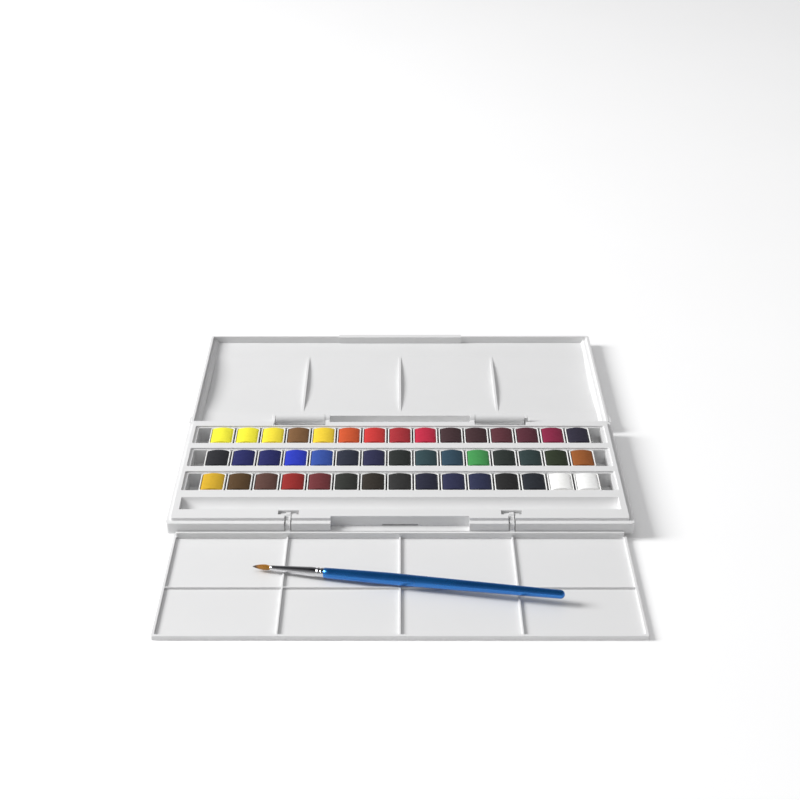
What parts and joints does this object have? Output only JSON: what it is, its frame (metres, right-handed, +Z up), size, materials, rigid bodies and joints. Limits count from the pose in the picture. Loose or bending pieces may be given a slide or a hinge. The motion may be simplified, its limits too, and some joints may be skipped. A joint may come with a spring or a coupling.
{
  "type": "watercolor pan set",
  "caption": "Open white plastic watercolour set: tray of half pans, hinged mixing lid, hooked front palette and a brush.",
  "frame": {"origin": "middle of the underside of the tray's middle pan trough, on the table", "axes": "+X to the right along the rows of pans, +Y to the back towards the open lid, +Z up"},
  "size_m": [0.2886, 0.3566, 0.0134],
  "materials": {
    "white_plastic": "semi-gloss moulded white plastic",
    "pin_steel": "plain steel wire",
    "hair": "fine golden-brown filaments",
    "ferrule_chrome": "polished plated metal",
    "blue_lacquer": "glossy blue lacquer",
    "paint_lemon_yellow": "dried watercolour paint",
    "paint_primrose_yellow": "dried watercolour paint",
    "paint_golden_yellow": "dried watercolour paint",
    "paint_golden_brown": "dried watercolour paint",
    "paint_warm_yellow": "dried watercolour paint",
    "paint_orange": "dried watercolour paint",
    "paint_scarlet": "dried watercolour paint",
    "paint_crimson": "dried watercolour paint",
    "paint_rose_red": "dried watercolour paint",
    "paint_dark_maroon": "dried watercolour paint",
    "paint_brown_maroon": "dried watercolour paint",
    "paint_wine_red": "dried watercolour paint",
    "paint_purple_wine": "dried watercolour paint",
    "paint_magenta": "dried watercolour paint",
    "paint_dark_violet": "dried watercolour paint",
    "paint_blue_black": "dried watercolour paint",
    "paint_navy_blue": "dried watercolour paint",
    "paint_deep_navy": "dried watercolour paint",
    "paint_ultramarine": "dried watercolour paint",
    "paint_cobalt_blue": "dried watercolour paint",
    "paint_slate_blue": "dried watercolour paint",
    "paint_violet_navy": "dried watercolour paint",
    "paint_black_green": "dried watercolour paint",
    "paint_teal_green": "dried watercolour paint",
    "paint_teal_blue": "dried watercolour paint",
    "paint_bright_green": "dried watercolour paint",
    "paint_dark_green": "dried watercolour paint",
    "paint_dark_teal": "dried watercolour paint",
    "paint_olive_green": "dried watercolour paint",
    "paint_orange_brown": "dried watercolour paint",
    "paint_yellow_ochre": "dried watercolour paint",
    "paint_olive_brown": "dried watercolour paint",
    "paint_umber_brown": "dried watercolour paint",
    "paint_light_red": "dried watercolour paint",
    "paint_indian_red": "dried watercolour paint",
    "paint_grey_green": "dried watercolour paint",
    "paint_dark_brown": "dried watercolour paint",
    "paint_dark_grey": "dried watercolour paint",
    "paint_midnight_blue": "dried watercolour paint",
    "paint_indigo": "dried watercolour paint",
    "paint_blue_violet": "dried watercolour paint",
    "paint_black": "dried watercolour paint",
    "paint_payne_grey": "dried watercolour paint",
    "paint_white": "dried watercolour paint",
    "paint_chinese_white": "dried watercolour paint"
  },
  "bodies": {
    "base": {"base_tray": "white_plastic", "hinge_pins": "pin_steel"},
    "lid": {"lid": "white_plastic"},
    "palette": {"palette": "white_plastic"},
    "brush": {"brush_hair": "hair", "brush_ferrule": "ferrule_chrome", "brush_handle": "blue_lacquer"},
    "half_pan_lemon_yellow": {"pan_lemon_yellow": "paint_lemon_yellow"},
    "half_pan_primrose_yellow": {"pan_primrose_yellow": "paint_primrose_yellow"},
    "half_pan_golden_yellow": {"pan_golden_yellow": "paint_golden_yellow"},
    "half_pan_golden_brown": {"pan_golden_brown": "paint_golden_brown"},
    "half_pan_warm_yellow": {"pan_warm_yellow": "paint_warm_yellow"},
    "half_pan_orange": {"pan_orange": "paint_orange"},
    "half_pan_scarlet": {"pan_scarlet": "paint_scarlet"},
    "half_pan_crimson": {"pan_crimson": "paint_crimson"},
    "half_pan_rose_red": {"pan_rose_red": "paint_rose_red"},
    "half_pan_dark_maroon": {"pan_dark_maroon": "paint_dark_maroon"},
    "half_pan_brown_maroon": {"pan_brown_maroon": "paint_brown_maroon"},
    "half_pan_wine_red": {"pan_wine_red": "paint_wine_red"},
    "half_pan_purple_wine": {"pan_purple_wine": "paint_purple_wine"},
    "half_pan_magenta": {"pan_magenta": "paint_magenta"},
    "half_pan_dark_violet": {"pan_dark_violet": "paint_dark_violet"},
    "half_pan_blue_black": {"pan_blue_black": "paint_blue_black"},
    "half_pan_navy_blue": {"pan_navy_blue": "paint_navy_blue"},
    "half_pan_deep_navy": {"pan_deep_navy": "paint_deep_navy"},
    "half_pan_ultramarine": {"pan_ultramarine": "paint_ultramarine"},
    "half_pan_cobalt_blue": {"pan_cobalt_blue": "paint_cobalt_blue"},
    "half_pan_slate_blue": {"pan_slate_blue": "paint_slate_blue"},
    "half_pan_violet_navy": {"pan_violet_navy": "paint_violet_navy"},
    "half_pan_black_green": {"pan_black_green": "paint_black_green"},
    "half_pan_teal_green": {"pan_teal_green": "paint_teal_green"},
    "half_pan_teal_blue": {"pan_teal_blue": "paint_teal_blue"},
    "half_pan_bright_green": {"pan_bright_green": "paint_bright_green"},
    "half_pan_dark_green": {"pan_dark_green": "paint_dark_green"},
    "half_pan_dark_teal": {"pan_dark_teal": "paint_dark_teal"},
    "half_pan_olive_green": {"pan_olive_green": "paint_olive_green"},
    "half_pan_orange_brown": {"pan_orange_brown": "paint_orange_brown"},
    "half_pan_yellow_ochre": {"pan_yellow_ochre": "paint_yellow_ochre"},
    "half_pan_olive_brown": {"pan_olive_brown": "paint_olive_brown"},
    "half_pan_umber_brown": {"pan_umber_brown": "paint_umber_brown"},
    "half_pan_light_red": {"pan_light_red": "paint_light_red"},
    "half_pan_indian_red": {"pan_indian_red": "paint_indian_red"},
    "half_pan_grey_green": {"pan_grey_green": "paint_grey_green"},
    "half_pan_dark_brown": {"pan_dark_brown": "paint_dark_brown"},
    "half_pan_dark_grey": {"pan_dark_grey": "paint_dark_grey"},
    "half_pan_midnight_blue": {"pan_midnight_blue": "paint_midnight_blue"},
    "half_pan_indigo": {"pan_indigo": "paint_indigo"},
    "half_pan_blue_violet": {"pan_blue_violet": "paint_blue_violet"},
    "half_pan_black": {"pan_black": "paint_black"},
    "half_pan_payne_grey": {"pan_payne_grey": "paint_payne_grey"},
    "half_pan_white": {"pan_white": "paint_white"},
    "half_pan_chinese_white": {"pan_chinese_white": "paint_chinese_white"}
  },
  "joints": [
    {"name": "lid_hinge", "type": "hinge", "parent": "base", "child": "lid", "pos_m": [0, 0.05395, 0.00965], "axis": [1, 0, 0], "range_deg": [0, 180]},
    {"name": "palette_hinge", "type": "hinge", "parent": "base", "child": "palette", "pos_m": [0, -0.0649, 0.0105], "axis": [1, 0, 0], "range_deg": [-90, 0]},
    {"name": "brush_lift", "type": "slide", "parent": "palette", "child": "brush", "axis": [0, 0, 1], "range_m": [0, 0.06]},
    {"name": "lift_lemon_yellow", "type": "slide", "parent": "base", "child": "half_pan_lemon_yellow", "axis": [0, 0, -1], "range_m": [-0.02, 0]},
    {"name": "lift_primrose_yellow", "type": "slide", "parent": "base", "child": "half_pan_primrose_yellow", "axis": [0, 0, -1], "range_m": [-0.02, 0]},
    {"name": "lift_golden_yellow", "type": "slide", "parent": "base", "child": "half_pan_golden_yellow", "axis": [0, 0, -1], "range_m": [-0.02, 0]},
    {"name": "lift_golden_brown", "type": "slide", "parent": "base", "child": "half_pan_golden_brown", "axis": [0, 0, -1], "range_m": [-0.02, 0]},
    {"name": "lift_warm_yellow", "type": "slide", "parent": "base", "child": "half_pan_warm_yellow", "axis": [0, 0, -1], "range_m": [-0.02, 0]},
    {"name": "lift_orange", "type": "slide", "parent": "base", "child": "half_pan_orange", "axis": [0, 0, -1], "range_m": [-0.02, 0]},
    {"name": "lift_scarlet", "type": "slide", "parent": "base", "child": "half_pan_scarlet", "axis": [0, 0, -1], "range_m": [-0.02, 0]},
    {"name": "lift_crimson", "type": "slide", "parent": "base", "child": "half_pan_crimson", "axis": [0, 0, -1], "range_m": [-0.02, 0]},
    {"name": "lift_rose_red", "type": "slide", "parent": "base", "child": "half_pan_rose_red", "axis": [0, 0, -1], "range_m": [-0.02, 0]},
    {"name": "lift_dark_maroon", "type": "slide", "parent": "base", "child": "half_pan_dark_maroon", "axis": [0, 0, -1], "range_m": [-0.02, 0]},
    {"name": "lift_brown_maroon", "type": "slide", "parent": "base", "child": "half_pan_brown_maroon", "axis": [0, 0, -1], "range_m": [-0.02, 0]},
    {"name": "lift_wine_red", "type": "slide", "parent": "base", "child": "half_pan_wine_red", "axis": [0, 0, -1], "range_m": [-0.02, 0]},
    {"name": "lift_purple_wine", "type": "slide", "parent": "base", "child": "half_pan_purple_wine", "axis": [0, 0, -1], "range_m": [-0.02, 0]},
    {"name": "lift_magenta", "type": "slide", "parent": "base", "child": "half_pan_magenta", "axis": [0, 0, -1], "range_m": [-0.02, 0]},
    {"name": "lift_dark_violet", "type": "slide", "parent": "base", "child": "half_pan_dark_violet", "axis": [0, 0, -1], "range_m": [-0.02, 0]},
    {"name": "lift_blue_black", "type": "slide", "parent": "base", "child": "half_pan_blue_black", "axis": [0, 0, -1], "range_m": [-0.02, 0]},
    {"name": "lift_navy_blue", "type": "slide", "parent": "base", "child": "half_pan_navy_blue", "axis": [0, 0, -1], "range_m": [-0.02, 0]},
    {"name": "lift_deep_navy", "type": "slide", "parent": "base", "child": "half_pan_deep_navy", "axis": [0, 0, -1], "range_m": [-0.02, 0]},
    {"name": "lift_ultramarine", "type": "slide", "parent": "base", "child": "half_pan_ultramarine", "axis": [0, 0, -1], "range_m": [-0.02, 0]},
    {"name": "lift_cobalt_blue", "type": "slide", "parent": "base", "child": "half_pan_cobalt_blue", "axis": [0, 0, -1], "range_m": [-0.02, 0]},
    {"name": "lift_slate_blue", "type": "slide", "parent": "base", "child": "half_pan_slate_blue", "axis": [0, 0, -1], "range_m": [-0.02, 0]},
    {"name": "lift_violet_navy", "type": "slide", "parent": "base", "child": "half_pan_violet_navy", "axis": [0, 0, -1], "range_m": [-0.02, 0]},
    {"name": "lift_black_green", "type": "slide", "parent": "base", "child": "half_pan_black_green", "axis": [0, 0, -1], "range_m": [-0.02, 0]},
    {"name": "lift_teal_green", "type": "slide", "parent": "base", "child": "half_pan_teal_green", "axis": [0, 0, -1], "range_m": [-0.02, 0]},
    {"name": "lift_teal_blue", "type": "slide", "parent": "base", "child": "half_pan_teal_blue", "axis": [0, 0, -1], "range_m": [-0.02, 0]},
    {"name": "lift_bright_green", "type": "slide", "parent": "base", "child": "half_pan_bright_green", "axis": [0, 0, -1], "range_m": [-0.02, 0]},
    {"name": "lift_dark_green", "type": "slide", "parent": "base", "child": "half_pan_dark_green", "axis": [0, 0, -1], "range_m": [-0.02, 0]},
    {"name": "lift_dark_teal", "type": "slide", "parent": "base", "child": "half_pan_dark_teal", "axis": [0, 0, -1], "range_m": [-0.02, 0]},
    {"name": "lift_olive_green", "type": "slide", "parent": "base", "child": "half_pan_olive_green", "axis": [0, 0, -1], "range_m": [-0.02, 0]},
    {"name": "lift_orange_brown", "type": "slide", "parent": "base", "child": "half_pan_orange_brown", "axis": [0, 0, -1], "range_m": [-0.02, 0]},
    {"name": "lift_yellow_ochre", "type": "slide", "parent": "base", "child": "half_pan_yellow_ochre", "axis": [0, 0, -1], "range_m": [-0.02, 0]},
    {"name": "lift_olive_brown", "type": "slide", "parent": "base", "child": "half_pan_olive_brown", "axis": [0, 0, -1], "range_m": [-0.02, 0]},
    {"name": "lift_umber_brown", "type": "slide", "parent": "base", "child": "half_pan_umber_brown", "axis": [0, 0, -1], "range_m": [-0.02, 0]},
    {"name": "lift_light_red", "type": "slide", "parent": "base", "child": "half_pan_light_red", "axis": [0, 0, -1], "range_m": [-0.02, 0]},
    {"name": "lift_indian_red", "type": "slide", "parent": "base", "child": "half_pan_indian_red", "axis": [0, 0, -1], "range_m": [-0.02, 0]},
    {"name": "lift_grey_green", "type": "slide", "parent": "base", "child": "half_pan_grey_green", "axis": [0, 0, -1], "range_m": [-0.02, 0]},
    {"name": "lift_dark_brown", "type": "slide", "parent": "base", "child": "half_pan_dark_brown", "axis": [0, 0, -1], "range_m": [-0.02, 0]},
    {"name": "lift_dark_grey", "type": "slide", "parent": "base", "child": "half_pan_dark_grey", "axis": [0, 0, -1], "range_m": [-0.02, 0]},
    {"name": "lift_midnight_blue", "type": "slide", "parent": "base", "child": "half_pan_midnight_blue", "axis": [0, 0, -1], "range_m": [-0.02, 0]},
    {"name": "lift_indigo", "type": "slide", "parent": "base", "child": "half_pan_indigo", "axis": [0, 0, -1], "range_m": [-0.02, 0]},
    {"name": "lift_blue_violet", "type": "slide", "parent": "base", "child": "half_pan_blue_violet", "axis": [0, 0, -1], "range_m": [-0.02, 0]},
    {"name": "lift_black", "type": "slide", "parent": "base", "child": "half_pan_black", "axis": [0, 0, -1], "range_m": [-0.02, 0]},
    {"name": "lift_payne_grey", "type": "slide", "parent": "base", "child": "half_pan_payne_grey", "axis": [0, 0, -1], "range_m": [-0.02, 0]},
    {"name": "lift_white", "type": "slide", "parent": "base", "child": "half_pan_white", "axis": [0, 0, -1], "range_m": [-0.02, 0]},
    {"name": "lift_chinese_white", "type": "slide", "parent": "base", "child": "half_pan_chinese_white", "axis": [0, 0, -1], "range_m": [-0.02, 0]}
  ]
}
